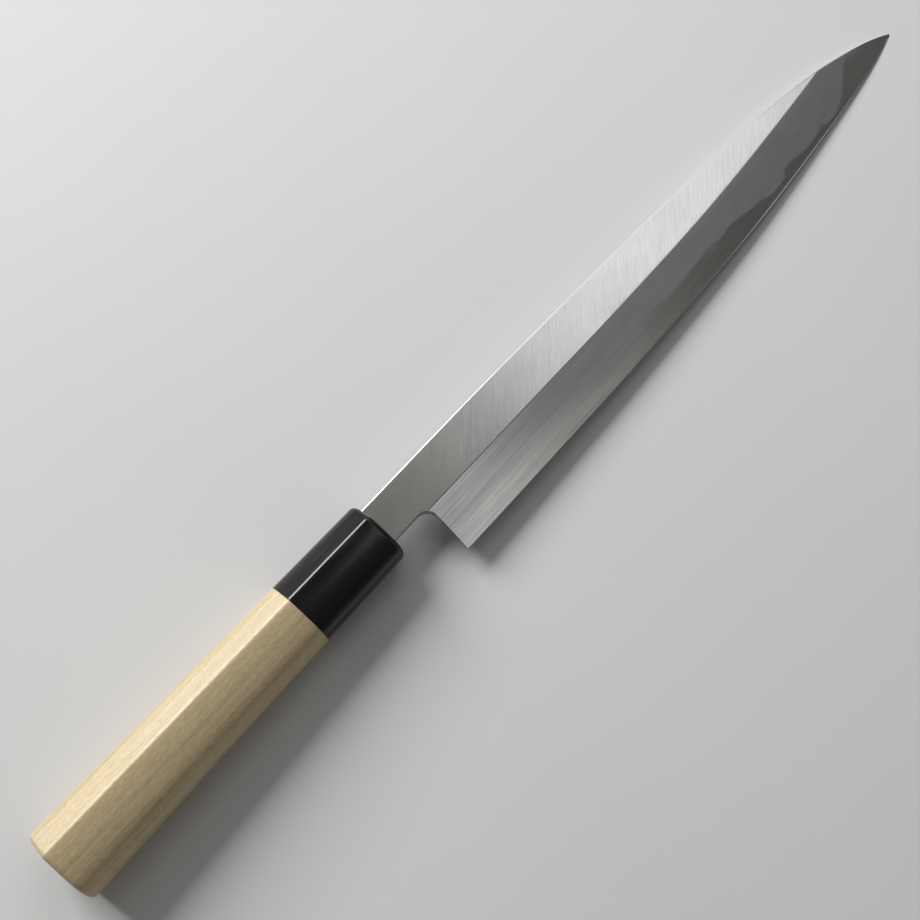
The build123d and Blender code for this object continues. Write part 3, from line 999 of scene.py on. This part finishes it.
# %% Wooden handle
JOINT_EASE = 0.12
joint_x = -FERRULE_LENGTH
butt = rounded(-HANDLE_LENGTH, BUTT_ROUND, -1)[::-1]
wood_body = chestnut(np.linspace(BUTT_ROUND - HANDLE_LENGTH, joint_x - JOINT_EASE, 90), 0)
wood_joint = chestnut([joint_x - JOINT_EASE, joint_x], [0, JOINT_EASE])
wood_patches = [(cap(butt[0]), 0), (butt, 0), (wood_body, 0), (wood_joint, 0),
                (cap(wood_joint[-1]), 0)]
make_piece("wooden_handle", wood_patches, [magnolia()], ["handle_wood"],
           wood_measures, HANDLE_SHARP)

# %% [markdown]
# ## Horn ferrule
# The ferrule is water buffalo horn, polished until it is almost a black mirror, with a few
# faint brown streaks that run with the handle. Its front has a pocket round the tang, which
# resin fills. The front face goes from the round outline to the pocket's square one in a few
# rings, so the polish runs over it without a seam.

# %% Polished horn
def black_horn():
    horn = Finish("black_horn", {"Coat Roughness": 0.06, "Coat IOR": 1.5,
                                 "Specular IOR Level": 0.4})
    streak = horn.noise(horn.place((30, 420, 420)), detail=3)
    fine = horn.noise(horn.place((90, 3000, 3000), shift=(0, 0.2, 0)), detail=2)
    brown = horn.fade(streak, 0.56, 0.74)
    horn.feed("Base Color", horn.tint(brown, (0.0075, 0.007, 0.0068, 1), (0.026, 0.020, 0.015, 1)))
    horn.feed("Roughness", fine * 0.10 + 0.15)
    horn.feed("Coat Weight", streak * 0.1 + 0.05)
    horn.bump(fine, 1.5e-6)
    return horn.material


# %% Front face with its pocket
pocket_middle = np.array([seal_middle, 0.0])
pocket_half = np.array([seal_half_height, seal_half_thickness])
front = rounded(0.0, FRONT_ROUND, 1, 12)
outline = front[-1, :-1, 1:]
from_middle = outline - pocket_middle
reach_share = (pocket_half / np.abs(from_middle)).min(axis=-1, keepdims=True)
square = pocket_middle + from_middle * reach_share
for corner in [(1, 1), (1, -1), (-1, -1), (-1, 1)]:
    point = pocket_middle + pocket_half * corner
    square[np.argmin(np.linalg.norm(square - point, axis=-1))] = point
square = np.concatenate([square, square[:1]])
mouth = np.concatenate([np.zeros((len(square), 1)), square], axis=-1)
depth = np.concatenate([np.full((len(square), 1), -SEAL_DEPTH), square], axis=-1)
face_share = np.linspace(0, 1, 6)[:, None, None]
front_face = front[-1][None] * (1 - face_share) + mouth[None] * face_share
horn_body = chestnut(np.linspace(joint_x + JOINT_EASE, -FRONT_ROUND, 40), 0)
horn_joint = chestnut([joint_x, joint_x + JOINT_EASE], [JOINT_EASE, 0])
horn_patches = [(cap(horn_joint[0]), 0), (horn_joint, 0), (horn_body, 0), (front, 0),
                (front_face, 0), (np.stack([mouth, depth]), 0), (cap(depth), 0)]
make_piece("horn_ferrule", horn_patches, [black_horn()], ["ferrule_horn"],
           None, HANDLE_SHARP)

# %% [markdown]
# ## Resin seal
# The block of resin round the tang has the right shape in the CAD model, so it stays as it is
# and only gets a finish: dark, dull and slightly lumpy, as poured pine resin is.

# %% Pine resin
resin = Finish("pine_resin", {"Specular IOR Level": 0.4})
lump = resin.noise(resin.place((700, 700, 700)), detail=3)
resin.feed("Base Color", resin.tint(lump, (0.018, 0.013, 0.009, 1), (0.05, 0.036, 0.022, 1)))
resin.feed("Roughness", lump * 0.25 + 0.38)
resin.bump(lump, 4e-5)
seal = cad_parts["tang_seal"]
if not seal.data.materials:
    seal.data.materials.append(resin.material)
for material_slot in seal.material_slots:
    material_slot.material = resin.material
print("seal keeps its CAD shape,", len(seal.data.polygons), "triangles")
